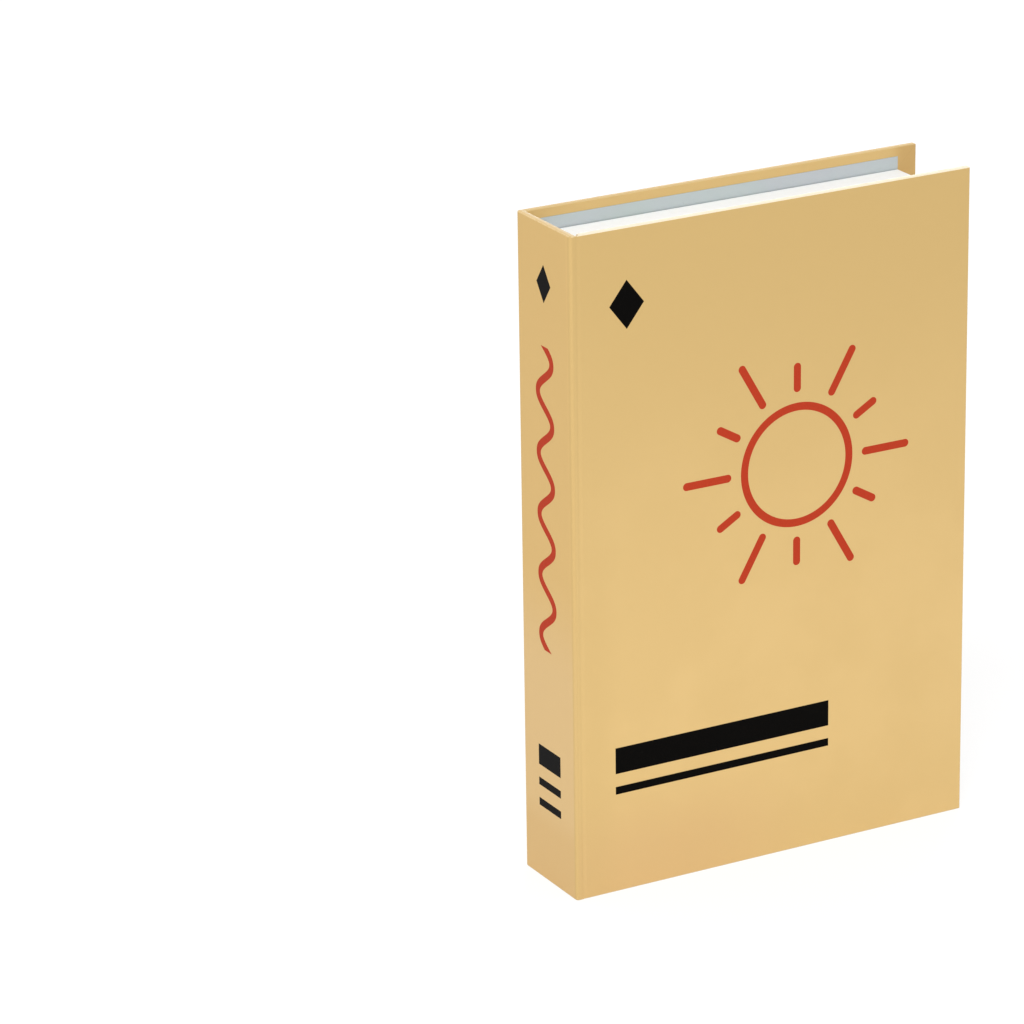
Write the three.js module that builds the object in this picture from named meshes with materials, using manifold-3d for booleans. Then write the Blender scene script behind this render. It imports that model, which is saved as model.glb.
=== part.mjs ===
// Book-shaped storage box: a rigid greyboard tray glued into a hard book case whose front
// cover is the lid. Millimetres, +Z up. The box stands on its tail edge, with the spine at
// -X and the front cover facing -Y. The origin is the middle of the footprint.
import * as THREE from "three";
import * as BufferGeometryUtils from "three/addons/utils/BufferGeometryUtils.js";
import Module from "manifold-3d";

const wasm = await Module();
wasm.setup();

// The closed book
const bookHeight = 250;
const bookWidth = 165;
const bookThickness = 38;
const spineCornerRadius = 1.2;

// Sheets and boards
const boardThickness = 2;
const coverPaper = 0.2;
const liningPaper = 0.15;
const pagePaper = 0.2;
const tapeThickness = 0.12;
const labelPaper = 0.1;
const glueLine = 0.05;

// Cover turn-ins and lining margins
const turnInWidth = 15;
const liningEndMargin = 3.5;
const liningForeMargin = 8;

// Paper hinge between the spine and the front cover
const grooveWidth = 1.1;
const hingeGap = 0.3;
const pivotProud = 0.15;

// Tray inside the case
const headInset = 8.3;
const tailInset = 3.6;
const foreInset = 8;
const lidClearance = 0.3;
const turnUnderWidth = 12;
const tapeWidth = 15;

// Bar magnets, in the lid and in the rim of the fore-edge wall
const magnetLength = 20;
const magnetWidth = 8;
const magnetEndDistance = 45;
const pocketClearance = 0.1;

// Sticker on the back cover
const labelWidth = 33;
const labelHeight = 16.5;
const labelForeDistance = 66.5;
const labelTailDistance = 13.5;

// How far a cut reaches past the faces that it opens, how finely an arc is divided, and how
// near two vertices of a mesh are taken as one
const cutOver = 1;
const arcDivisions = 5;
const weldDistance = 1e-4;

// Depths of the layers below the outer face of a cover
const boardOuter = coverPaper + glueLine;
const boardInner = boardOuter + boardThickness;
const turnInOuter = boardInner + glueLine;
const turnInInner = turnInOuter + coverPaper;
const liningOuter = turnInInner + glueLine;
const liningInner = liningOuter + liningPaper;

// Distance of the hinge line from the spine's outer face, and of the cover edge from it
const hingeOffset = liningInner + grooveWidth / 2;
const coverReach = bookWidth - hingeOffset;
const edgeFlange = grooveWidth / 2 + liningPaper + glueLine;

// The tray's outside, and the depths of its layers
const trayLeft = liningInner + glueLine;
const trayWidth = bookWidth - trayLeft - foreInset;
const trayDepth = bookThickness - 2 * liningInner - lidClearance - glueLine;
const trayHeight = bookHeight - headInset - tailInset;
const wallOuter = pagePaper + glueLine + tapeThickness + glueLine;
const wallInner = wallOuter + boardThickness;
const innerSkinOuter = wallInner + glueLine;
const innerSkinInner = innerSkinOuter + pagePaper;
const rimBoard = pagePaper + glueLine;
const floorOuter = trayDepth - pagePaper - glueLine;
const floorInner = floorOuter - boardThickness;
const wallFoot = floorInner - glueLine;
const magnetHeights = [magnetEndDistance, trayHeight - magnetEndDistance];
const magnetThickness = boardThickness - 2 * pocketClearance;

const caseMaterial = { color: 0xdfbe84, roughness: 0.6, metalness: 0 };
const liningMaterial = { color: 0xb9c4c9, roughness: 0.85, metalness: 0 };
const pageMaterial = { color: 0xf8f6f0, roughness: 0.85, metalness: 0 };
const boardMaterial = { color: 0x8f897d, roughness: 0.9, metalness: 0 };
const tapeMaterial = { color: 0xb98d5b, roughness: 0.8, metalness: 0 };
const magnetMaterial = { color: 0xb4b6b8, roughness: 0.35, metalness: 1 };
const labelMaterial = { color: 0xf2f1f0, roughness: 0.5, metalness: 0 };

// A box from its low corner to its high corner
function block(low, high) {
  const size = high.map((value, axis) => value - low[axis]);
  const geometry = new THREE.BoxGeometry(...size);
  geometry.translate(...low.map((value, axis) => value + size[axis] / 2));
  return geometry;
}

// An outline in X and Y, drawn out along Z from one height to another
function prism(outline, bottom, top) {
  const geometry = new THREE.ExtrudeGeometry(outline, {
    depth: top - bottom,
    bevelEnabled: false,
    curveSegments: arcDivisions,
  });
  geometry.translate(0, 0, bottom);
  return geometry;
}

function polygon(points) {
  return new THREE.Shape(points.map(([x, y]) => new THREE.Vector2(x, y)));
}

function solid(geometry) {
  const bare = geometry.clone();
  bare.deleteAttribute("normal");
  bare.deleteAttribute("uv");
  const merged = BufferGeometryUtils.mergeVertices(bare, weldDistance);
  const mesh = new wasm.Mesh({
    numProp: 3,
    vertProperties: new Float32Array(merged.attributes.position.array),
    triVerts: new Uint32Array(merged.index.array),
  });
  return new wasm.Manifold(mesh);
}

function geometryOf(manifold) {
  const mesh = manifold.getMesh();
  const geometry = new THREE.BufferGeometry();
  geometry.setAttribute("position", new THREE.BufferAttribute(mesh.vertProperties, 3));
  geometry.setIndex(new THREE.BufferAttribute(mesh.triVerts, 1));
  geometry.computeVertexNormals();
  return geometry;
}

function cut(geometry, tools) {
  const left = tools.reduce((body, tool) => body.subtract(solid(tool)), solid(geometry));
  return geometryOf(left);
}

function join(geometries) {
  const [first, ...rest] = geometries.map(solid);
  return geometryOf(rest.reduce((body, other) => body.add(other), first));
}

function piece(name, geometry, finish) {
  const mesh = new THREE.Mesh(geometry, new THREE.MeshStandardMaterial(finish));
  mesh.name = name;
  return mesh;
}

function at(object, x, y, z) {
  object.position.set(x, y, z);
  return object;
}

// Outline of the rear case, seen from the head: from the front end of the spine round its two
// outer corners to the fore-edge of the back cover, as a band between two depths
function rearOutline(outer, inner) {
  const radius = spineCornerRadius - outer;
  const back = bookThickness - outer;
  const innerBack = bookThickness - inner;
  const shape = new THREE.Shape();
  shape.moveTo(inner, outer);
  shape.lineTo(outer + radius, outer);
  shape.absarc(outer + radius, outer + radius, radius, -Math.PI / 2, -Math.PI, true);
  shape.absarc(outer + radius, back - radius, radius, Math.PI, Math.PI / 2, true);
  shape.lineTo(bookWidth - outer, back);
  shape.lineTo(bookWidth - outer, innerBack);
  shape.lineTo(inner, innerBack);
  shape.closePath();
  return shape;
}

// The case frame has its origin at the outer corner of spine and front, at the tail

function spineBoard() {
  const radius = spineCornerRadius - boardOuter;
  const back = bookThickness - boardOuter;
  const outline = new THREE.Shape();
  outline.moveTo(boardInner, boardOuter);
  outline.lineTo(boardOuter + radius, boardOuter);
  outline.absarc(boardOuter + radius, boardOuter + radius, radius, -Math.PI / 2, -Math.PI, true);
  outline.absarc(boardOuter + radius, back - radius, radius, Math.PI, Math.PI / 2, true);
  outline.lineTo(boardInner, back);
  outline.closePath();
  return piece("spine_board", prism(outline, boardOuter, bookHeight - boardOuter), boardMaterial);
}

function backBoard() {
  const low = [boardInner + glueLine, bookThickness - boardInner, boardOuter];
  const high = [bookWidth - boardOuter, bookThickness - boardOuter, bookHeight - boardOuter];
  return piece("back_board", block(low, high), boardMaterial);
}

function rearCaseWrap() {
  const band = prism(rearOutline(0, turnInInner), 0, bookHeight);
  const boards = prism(rearOutline(coverPaper, turnInOuter), coverPaper, bookHeight - coverPaper);
  const windowTop = bookHeight - turnInWidth;
  const backWindow = block(
    [boardInner, bookThickness - turnInInner - cutOver, turnInWidth],
    [bookWidth - turnInWidth, bookThickness - boardInner, windowTop],
  );
  const spineWindow = block(
    [boardInner, coverPaper, turnInWidth],
    [turnInInner + cutOver, bookThickness - boardInner, windowTop],
  );
  const hingeStrip = block([turnInOuter, 0, 0], [hingeOffset - hingeGap / 2, coverPaper, bookHeight]);
  const shell = cut(band, [boards, backWindow, spineWindow]);
  return piece("rear_case_wrap", join([shell, hingeStrip]), caseMaterial);
}

function rearLining() {
  const foreEnd = bookWidth - liningForeMargin;
  const outline = polygon([
    [liningOuter, boardOuter],
    [liningInner, boardOuter],
    [liningInner, bookThickness - liningInner],
    [foreEnd, bookThickness - liningInner],
    [foreEnd, bookThickness - liningOuter],
    [liningOuter, bookThickness - liningOuter],
  ]);
  const sheet = prism(outline, liningEndMargin, bookHeight - liningEndMargin);
  return piece("rear_lining", sheet, liningMaterial);
}

function backSticker() {
  const sheet = new THREE.BoxGeometry(labelWidth, labelPaper, labelHeight);
  const sticker = piece("back_sticker", sheet, labelMaterial);
  return at(
    sticker,
    bookWidth - labelForeDistance - labelWidth / 2,
    bookThickness + glueLine + labelPaper / 2,
    labelTailDistance + labelHeight / 2,
  );
}

function rearCase() {
  const group = new THREE.Group();
  group.add(spineBoard(), backBoard(), rearCaseWrap(), rearLining(), backSticker());
  return group;
}

// The tray frame has its origin at the rim's corner of spine and tail, with Y into the tray

function trayFloorBoard() {
  const low = [wallOuter, floorInner, wallOuter];
  const high = [trayWidth - wallOuter, floorOuter, trayHeight - wallOuter];
  return piece("tray_floor_board", block(low, high), boardMaterial);
}

function trayEndWall(name, bottom) {
  const low = [wallInner + glueLine, rimBoard, bottom];
  const high = [trayWidth - wallInner - glueLine, wallFoot, bottom + boardThickness];
  return piece(name, block(low, high), boardMaterial);
}

function traySpineWall() {
  const low = [wallOuter, rimBoard, wallOuter];
  const high = [wallInner, wallFoot, trayHeight - wallOuter];
  return piece("tray_spine_wall", block(low, high), boardMaterial);
}

function trayForeEdgeWall() {
  const wall = block(
    [trayWidth - wallInner, rimBoard, wallOuter],
    [trayWidth - wallOuter, wallFoot, trayHeight - wallOuter],
  );
  const reach = magnetLength / 2 + pocketClearance;
  const notches = magnetHeights.map((height) => block(
    [trayWidth - wallInner - cutOver, rimBoard - cutOver, height - reach],
    [trayWidth - wallOuter + cutOver, rimBoard + magnetWidth + pocketClearance, height + reach],
  ));
  return piece("tray_fore_edge_wall", cut(wall, notches), boardMaterial);
}

function trayPageWrap() {
  const outside = block([0, 0, 0], [trayWidth, trayDepth, trayHeight]);
  const boards = block(
    [pagePaper, pagePaper, pagePaper],
    [trayWidth - pagePaper, trayDepth - pagePaper, trayHeight - pagePaper],
  );
  const mouth = block(
    [innerSkinInner, -cutOver, innerSkinInner],
    [trayWidth - innerSkinInner, cutOver, trayHeight - innerSkinInner],
  );
  const underside = block(
    [turnUnderWidth, floorInner, turnUnderWidth],
    [trayWidth - turnUnderWidth, trayDepth + cutOver, trayHeight - turnUnderWidth],
  );
  const innerSkin = cut(
    block(
      [innerSkinOuter, 0, innerSkinOuter],
      [trayWidth - innerSkinOuter, wallFoot, trayHeight - innerSkinOuter],
    ),
    [block(
      [innerSkinInner, -cutOver, innerSkinInner],
      [trayWidth - innerSkinInner, trayDepth, trayHeight - innerSkinInner],
    )],
  );
  const shell = cut(outside, [boards, mouth, underside]);
  return piece("tray_page_wrap", join([shell, innerSkin]), pageMaterial);
}

function trayFloorLining() {
  const low = [innerSkinInner + glueLine, wallFoot - liningPaper, innerSkinInner + glueLine];
  const high = [trayWidth - low[0], wallFoot, trayHeight - low[2]];
  return piece("tray_floor_lining", block(low, high), liningMaterial);
}

// One strip of paper tape folded round an outer corner of the tray's walls
function cornerTape(name, foreSide, headSide) {
  const outer = pagePaper + glueLine;
  const inner = outer + tapeThickness;
  const reach = outer + tapeWidth;
  const corner = [
    [outer, outer],
    [reach, outer],
    [reach, inner],
    [inner, inner],
    [inner, reach],
    [outer, reach],
  ];
  const points = corner.map(([x, z]) => [
    foreSide ? trayWidth - x : x,
    headSide ? z - trayHeight : -z,
  ]);
  const tape = prism(polygon(points), rimBoard, floorOuter);
  tape.rotateX(-Math.PI / 2);
  return piece(name, tape, tapeMaterial);
}

function trayMagnet(name, height) {
  const bar = new THREE.BoxGeometry(magnetThickness, magnetWidth, magnetLength);
  const middle = (wallOuter + wallInner) / 2;
  return at(piece(name, bar, magnetMaterial), trayWidth - middle, rimBoard + magnetWidth / 2, height);
}

function tray() {
  const group = new THREE.Group();
  const [tailMagnet, headMagnet] = magnetHeights;
  group.add(
    trayFloorBoard(),
    trayEndWall("tray_tail_wall", wallOuter),
    trayEndWall("tray_head_wall", trayHeight - wallInner),
    traySpineWall(),
    trayForeEdgeWall(),
    trayPageWrap(),
    trayFloorLining(),
    cornerTape("corner_tape_tail_spine", false, false),
    cornerTape("corner_tape_tail_fore", true, false),
    cornerTape("corner_tape_head_spine", false, true),
    cornerTape("corner_tape_head_fore", true, true),
    trayMagnet("tray_magnet_tail", tailMagnet),
    trayMagnet("tray_magnet_head", headMagnet),
  );
  return group;
}

// The front cover's frame has its origin on the hinge line, just proud of the outer face

function frontMagnetPlaces() {
  const wallMiddle = foreInset + (wallOuter + wallInner) / 2;
  return magnetHeights.map((height) => [coverReach - wallMiddle, tailInset + height]);
}

function frontBoard() {
  const board = block(
    [edgeFlange + boardOuter, pivotProud + boardOuter, boardOuter],
    [coverReach - boardOuter, pivotProud + boardInner, bookHeight - boardOuter],
  );
  const acrossReach = magnetWidth / 2 + pocketClearance;
  const heightReach = magnetLength / 2 + pocketClearance;
  const pockets = frontMagnetPlaces().map(([across, height]) => block(
    [across - acrossReach, pivotProud + boardOuter - cutOver, height - heightReach],
    [across + acrossReach, pivotProud + boardInner + cutOver, height + heightReach],
  ));
  return piece("front_board", cut(board, pockets), boardMaterial);
}

function frontCaseWrap() {
  const shell = block(
    [edgeFlange, pivotProud, 0],
    [coverReach, pivotProud + turnInInner, bookHeight],
  );
  const boardSpace = block(
    [edgeFlange + coverPaper, pivotProud + coverPaper, coverPaper],
    [coverReach - coverPaper, pivotProud + turnInOuter, bookHeight - coverPaper],
  );
  const window = block(
    [edgeFlange - cutOver, pivotProud + coverPaper, turnInWidth],
    [coverReach - turnInWidth, pivotProud + turnInInner + cutOver, bookHeight - turnInWidth],
  );
  const hingeStrip = block(
    [hingeGap / 2, pivotProud, 0],
    [edgeFlange + coverPaper, pivotProud + coverPaper, bookHeight],
  );
  return piece("front_case_wrap", join([cut(shell, [boardSpace, window]), hingeStrip]), caseMaterial);
}

function frontLining() {
  const edge = grooveWidth / 2;
  const foreEnd = coverReach - liningForeMargin;
  const outline = polygon([
    [edge, pivotProud + boardOuter],
    [edge + liningPaper, pivotProud + boardOuter],
    [edge + liningPaper, pivotProud + liningOuter],
    [foreEnd, pivotProud + liningOuter],
    [foreEnd, pivotProud + liningInner],
    [edge, pivotProud + liningInner],
  ]);
  const sheet = prism(outline, liningEndMargin, bookHeight - liningEndMargin);
  return piece("front_lining", sheet, liningMaterial);
}

function frontMagnet(name, [across, height]) {
  const bar = new THREE.BoxGeometry(magnetWidth, magnetThickness, magnetLength);
  const depth = pivotProud + (boardOuter + boardInner) / 2;
  return at(piece(name, bar, magnetMaterial), across, depth, height);
}

function frontCover() {
  const group = new THREE.Group();
  const [tailPlace, headPlace] = frontMagnetPlaces();
  group.add(
    frontBoard(),
    frontCaseWrap(),
    frontLining(),
    frontMagnet("front_magnet_tail", tailPlace),
    frontMagnet("front_magnet_head", headPlace),
  );
  return group;
}

function book() {
  const group = new THREE.Group();
  group.add(
    rearCase(),
    at(tray(), trayLeft, liningInner + lidClearance, tailInset),
    at(frontCover(), hingeOffset, -pivotProud, 0),
  );
  return at(group, -bookWidth / 2, -bookThickness / 2, 0);
}

export default book();
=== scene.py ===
# Book-shaped storage box: the printed case paper, linings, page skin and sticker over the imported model
import math

import bmesh
import bpy
from mathutils import Matrix, Vector


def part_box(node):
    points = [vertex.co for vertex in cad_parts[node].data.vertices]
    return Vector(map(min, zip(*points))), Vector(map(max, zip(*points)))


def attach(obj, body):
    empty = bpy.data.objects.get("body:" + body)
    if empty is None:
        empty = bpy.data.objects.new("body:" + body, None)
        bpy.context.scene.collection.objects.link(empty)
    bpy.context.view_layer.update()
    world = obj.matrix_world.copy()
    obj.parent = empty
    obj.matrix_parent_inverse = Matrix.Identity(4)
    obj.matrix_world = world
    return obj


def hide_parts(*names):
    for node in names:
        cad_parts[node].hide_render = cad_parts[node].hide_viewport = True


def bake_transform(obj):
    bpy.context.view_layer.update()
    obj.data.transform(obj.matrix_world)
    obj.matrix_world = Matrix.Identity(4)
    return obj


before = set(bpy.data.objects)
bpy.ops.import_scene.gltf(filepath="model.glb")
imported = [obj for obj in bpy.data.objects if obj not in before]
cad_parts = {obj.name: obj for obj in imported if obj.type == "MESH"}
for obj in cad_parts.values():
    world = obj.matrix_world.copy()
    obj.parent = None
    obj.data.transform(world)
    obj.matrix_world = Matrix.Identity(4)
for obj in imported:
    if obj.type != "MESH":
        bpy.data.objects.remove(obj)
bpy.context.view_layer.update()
metre = 1000.0  # shapes are worked out in millimetres
print("frame loaded:", len(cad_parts), "nodes")


# Camera, floor and light

cameraView = {
    "aim": (-0.09636, 0.0, 0.14605),
    "azimuth": -28.53,
    "elevation": 19.98,
    "roll": -0.899,
    "distance": 1.81085,
    "lens": 180.42,
    "sensor": 36.0,
}


def makeCamera(view):
    azimuth = math.radians(view["azimuth"])
    elevation = math.radians(view["elevation"])
    level = math.cos(elevation)
    back = Vector((math.sin(azimuth) * level, -math.cos(azimuth) * level, math.sin(elevation)))
    data = bpy.data.cameras.new("camera")
    data.lens = view["lens"]
    data.sensor_width = view["sensor"]
    camera = bpy.data.objects.new("camera", data)
    camera.location = Vector(view["aim"]) + back * view["distance"]
    upright = back.to_track_quat("Z", "Y").to_matrix()
    tilted = upright @ Matrix.Rotation(math.radians(view["roll"]), 3, "Z")
    camera.rotation_euler = tilted.to_euler()
    bpy.context.scene.collection.objects.link(camera)
    bpy.context.scene.camera = camera


makeCamera(cameraView)
print("camera set")


# Node trees: a Wire is an output that takes part in sums, a Nodes adds nodes to one tree

class Wire:
    def __init__(self, nodes, socket):
        self.nodes = nodes
        self.socket = socket

    def math(self, operation, other=0.0):
        return self.nodes.add("ShaderNodeMath", {"operation": operation}, {0: self, 1: other})

    def reflected(self, operation, other):
        return self.nodes.add("ShaderNodeMath", {"operation": operation}, {0: other, 1: self})

    def __add__(self, other):
        return self.math("ADD", other)

    def __sub__(self, other):
        return self.math("SUBTRACT", other)

    def __rsub__(self, other):
        return self.reflected("SUBTRACT", other)

    def __mul__(self, other):
        return self.math("MULTIPLY", other)

    def __truediv__(self, other):
        return self.math("DIVIDE", other)

    def __rtruediv__(self, other):
        return self.reflected("DIVIDE", other)

    def __lt__(self, other):
        return self.math("LESS_THAN", other)

    def __gt__(self, other):
        return self.math("GREATER_THAN", other)

    def __mod__(self, other):
        return self.math("FLOORED_MODULO", other)

    def __abs__(self):
        return self.math("ABSOLUTE")

    __radd__ = __add__
    __rmul__ = __mul__


def findSocket(sockets, key):
    if isinstance(key, int):
        return sockets[key]
    named = [socket for socket in sockets if key in (socket.identifier, socket.name)]
    return named[0]


class Nodes:
    def __init__(self, tree):
        self.tree = tree

    def add(self, kind, settings, sockets, output=0):
        node = self.tree.nodes.new(kind)
        for name, value in settings.items():
            setattr(node, name, value)
        for key, value in sockets.items():
            self.plug(findSocket(node.inputs, key), value)
        return Wire(self, findSocket(node.outputs, output))

    def plug(self, socket, value):
        if isinstance(value, Wire):
            self.tree.links.new(value.socket, socket)
        else:
            socket.default_value = value

    def split(self, vector):
        parts = self.add("ShaderNodeSeparateXYZ", {}, {0: vector})
        return [Wire(self, socket) for socket in parts.socket.node.outputs]


class Paint(Nodes):
    def __init__(self, name, fixed):
        self.material = bpy.data.materials.new(name)
        self.material.use_nodes = True
        super().__init__(self.material.node_tree)
        self.shader = self.tree.nodes["Principled BSDF"]
        for key, value in fixed.items():
            self.shader.inputs[key].default_value = value

    def place(self, attribute=None):  # millimetres, from the object or from the sheet's place at rest
        if attribute:
            raw = self.add("ShaderNodeAttribute", {"attribute_name": attribute}, {}, "Vector")
        else:
            raw = self.add("ShaderNodeTexCoord", {}, {}, "Object")
        return self.add("ShaderNodeVectorMath", {"operation": "SCALE"}, {0: raw, "Scale": metre})

    def noise(self, vector, scale, detail=2.0, roughness=0.5):
        sockets = {"Vector": vector, "Scale": scale, "Detail": detail, "Roughness": roughness}
        return self.add("ShaderNodeTexNoise", {}, sockets)

    def stretched(self, vector, scale):
        sockets = {"Vector": vector, "Scale": scale}
        return self.add("ShaderNodeMapping", {"vector_type": "TEXTURE"}, sockets)

    def blend(self, factor, first, second):
        sockets = {"Factor_Float": factor, "A_Color": first, "B_Color": second}
        return self.add("ShaderNodeMix", {"data_type": "RGBA"}, sockets, "Result_Color")

    def layered(self, colour, *layers):  # each layer covers by its share what lies under it
        for share, cover in layers:
            colour = self.blend(share, colour, cover)
        return colour

    def ramp(self, value, low, high):  # 0 at low and 1 at high, eased between
        settings = {"interpolation_type": "SMOOTHSTEP"}
        sockets = {"Value": value, "From Min": low, "From Max": high}
        return self.add("ShaderNodeMapRange", settings, sockets)

    def finish(self, colour, roughness, height, depth):
        bump = self.add("ShaderNodeBump", {}, {"Height": height, "Distance": depth / metre})
        self.plug(self.shader.inputs["Base Color"], colour)
        self.plug(self.shader.inputs["Roughness"], roughness)
        self.plug(self.shader.inputs["Normal"], bump)
        return self.material


def tint(red, green, blue):  # a screen colour from 0 to 255, as a linear one
    def linear(value):
        share = value / 255
        return share / 12.92 if share <= 0.04045 else ((share + 0.055) / 1.055) ** 2.4

    return (linear(red), linear(green), linear(blue), 1.0)


def between(value, low, high):
    return (value > low) * (value < high)


# Stage

stageLook = {
    "floorSize": 8.0,
    "floorShade": (0.70, 0.70, 0.70, 1.0),
    "seenShade": (0.30, 0.30, 0.30, 1.0),
    "seenGlow": 0.74,
    "skyShade": (0.66, 0.66, 0.66, 1.0),
    "lamps": {
        "key": {
            "place": (-3.4, -3.6, 5.8),
            "aim": (0.0, 0.0, 0.1),
            "size": (3.2, 3.2),
            "power": 256.0,
        },
        "fill": {  # low, from behind, for the back and the fore edge
            "place": (2.2, 2.75, 0.55),
            "aim": (0.0, 0.0, 0.12),
            "size": (1.6, 1.2),
            "power": 57.0,
        },
        "low": {  # a strip near the floor, for the foot of the spine and the front
            "place": (-0.2, -0.43, 0.04),
            "aim": (-0.02, 0.0, 0.06),
            "size": (0.55, 0.06),
            "power": 0.33,
        },
    },
}


def seenRay(nodes):  # rays that show the background: from the camera, off gloss or through glass
    rays = nodes.add("ShaderNodeLightPath", {}, {}).socket.node.outputs
    names = ("Is Camera Ray", "Is Glossy Ray", "Is Transmission Ray")
    camera, glossy, through = [Wire(nodes, rays[name]) for name in names]
    return camera.math("MAXIMUM", glossy).math("MAXIMUM", through)


def makeFloor(look):
    half = look["floorSize"] / 2
    mesh = bpy.data.meshes.new("floor")
    corners = [(-half, -half, 0), (half, -half, 0), (half, half, 0), (-half, half, 0)]
    mesh.from_pydata(corners, [], [(0, 1, 2, 3)])
    floor = bpy.data.objects.new("floor", mesh)
    bpy.context.scene.collection.objects.link(floor)
    paint = Paint("floor", {})
    lit = paint.add("ShaderNodeBsdfDiffuse", {}, {"Color": look["floorShade"]})
    shown = paint.add("ShaderNodeBsdfDiffuse", {}, {"Color": look["seenShade"]})
    glow = paint.add("ShaderNodeEmission", {}, {"Strength": look["seenGlow"]})
    background = paint.add("ShaderNodeAddShader", {}, {0: shown, 1: glow})
    mixed = paint.add("ShaderNodeMixShader", {}, {0: seenRay(paint), 1: lit, 2: background})
    paint.plug(paint.tree.nodes["Material Output"].inputs["Surface"], mixed)
    paint.tree.nodes.remove(paint.shader)
    mesh.materials.append(paint.material)


def makeSky(look):
    world = bpy.data.worlds.new("studio")
    world.use_nodes = True
    bpy.context.scene.world = world
    sky = Nodes(world.node_tree)
    light = sky.add("ShaderNodeBackground", {}, {"Color": look["skyShade"]})
    white = sky.add("ShaderNodeBackground", {}, {"Color": (1.0, 1.0, 1.0, 1.0)})
    mixed = sky.add("ShaderNodeMixShader", {}, {0: seenRay(sky), 1: light, 2: white})
    sky.plug(world.node_tree.nodes["World Output"].inputs["Surface"], mixed)


def makeLamp(name, lamp):
    data = bpy.data.lights.new(name, "AREA")
    data.shape = "RECTANGLE"
    data.size, data.size_y = lamp["size"]
    data.energy = lamp["power"]
    holder = bpy.data.objects.new(name, data)
    holder.location = lamp["place"]
    towards = Vector(lamp["aim"]) - Vector(lamp["place"])
    holder.rotation_euler = towards.to_track_quat("-Z", "Y").to_euler()
    bpy.context.scene.collection.objects.link(holder)


makeFloor(stageLook)
makeSky(stageLook)
for lampName, lamp in stageLook["lamps"].items():
    makeLamp(lampName, lamp)
bpy.context.scene.view_settings.view_transform = "Standard"
print("floor, sky and lamps made")


# Shape helpers

tiny = 1e-9


def cadBox(node):
    low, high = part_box(node)
    return low * metre, high * metre


def span(first, last, count):
    return [first + (last - first) * step / count for step in range(count + 1)]


def arc(centre, radius, first, last, steps):
    angles = [math.radians(angle) for angle in span(first, last, steps)]
    return [(centre[0] + radius * math.cos(a), centre[1] + radius * math.sin(a)) for a in angles]


def spread(points, count):  # the same path as evenly spaced points
    lengths = [0.0]
    for start, end in zip(points, points[1:]):
        lengths.append(lengths[-1] + math.dist(start, end))
    places = []
    for target in span(0.0, lengths[-1], count):
        index = max(i for i in range(len(points) - 1) if lengths[i] <= target + tiny)
        step = max(lengths[index + 1] - lengths[index], tiny)
        share = min((target - lengths[index]) / step, 1.0)
        start, end = points[index], points[index + 1]
        places.append((start[0] + (end[0] - start[0]) * share, start[1] + (end[1] - start[1]) * share))
    return places


def ease(value):
    share = min(max(value, 0.0), 1.0)
    return share * share * (3 - 2 * share)


def makePiece(name, points, faces):
    mesh = bpy.data.meshes.new(name)
    mesh.from_pydata([Vector(point) / metre for point in points], [], faces)
    piece = bpy.data.objects.new(name, mesh)
    bpy.context.scene.collection.objects.link(piece)
    return piece


def loopFace(index, place, size):  # from one closed loop of points to the next
    here, there = index * size, (index + 1) * size
    following = (place + 1) % size
    return (here + place, here + following, there + following, there + place)


def tidyMesh(piece, outward):  # outward is a direction that the first face has to look along
    work = bmesh.new()
    work.from_mesh(piece.data)
    bmesh.ops.remove_doubles(work, verts=work.verts, dist=1e-7)  # metres
    work.faces.ensure_lookup_table()
    if work.faces[0].normal.dot(Vector(outward)) < 0:
        bmesh.ops.reverse_faces(work, faces=work.faces)
    work.to_mesh(piece.data)
    work.free()


def settle(piece):  # modifiers become the mesh
    view = bpy.context.evaluated_depsgraph_get()
    finished = bpy.data.meshes.new_from_object(piece.evaluated_get(view))
    piece.modifiers.clear()
    piece.data = finished


def thicken(piece, thickness):  # behind the face that shows
    solid = piece.modifiers.new("paper", "SOLIDIFY")
    solid.thickness = thickness / metre
    solid.offset = -1.0
    solid.use_even_offset = True
    settle(piece)


def keepWithin(piece, low, high):  # in a tight fold the inner skin can come past the outer one
    for vertex in piece.data.vertices:
        limits = zip(vertex.co, low / metre, high / metre)
        vertex.co = [min(max(value, least), most) for value, least, most in limits]


def smoothFaces(piece, angle=40.0):
    mesh = piece.data
    mesh.polygons.foreach_set("use_smooth", [True] * len(mesh.polygons))
    mesh.set_sharp_from_angle(angle=math.radians(angle))


def rememberRest(piece):  # where the sheet bends, its print keeps to the places at rest
    mesh = piece.data
    store = mesh.attributes.new("restPlace", "FLOAT_VECTOR", "POINT")
    for index, vertex in enumerate(mesh.vertices):
        store.data[index].vector = vertex.co


def dress(piece, material):
    piece.data.materials.clear()
    piece.data.materials.append(material)


# Case paper, folded round the boards

casePaper = {
    "paper": 0.2,
    "glue": 0.05,
    "foldRadius": 0.37,
    "foldSteps": 4,
    "support": 0.15,  # faces beside a fold, which keep it tight
    "turnIn": 15.0,
    "cornerRadius": 1.2,
    "cornerSteps": 8,
    "seamBack": 1.4,  # from the groove's middle back to the line where the two halves meet
    "creaseDepth": 0.09,
    "creasePlace": 0.25,
    "creaseSides": (0.9, 1.6),
    "bendRadius": 0.3,
    "turnInDip": 0.4,
    "grooveEnd": 0.9,
    "frontFlat": 1.0,
    "backFlat": 2.0,
    "rows": 12,
    "grooveColumns": 30,
    "coverColumns": 26,
    "spineColumns": 12,
    "seamColumns": 3,
}


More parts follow.
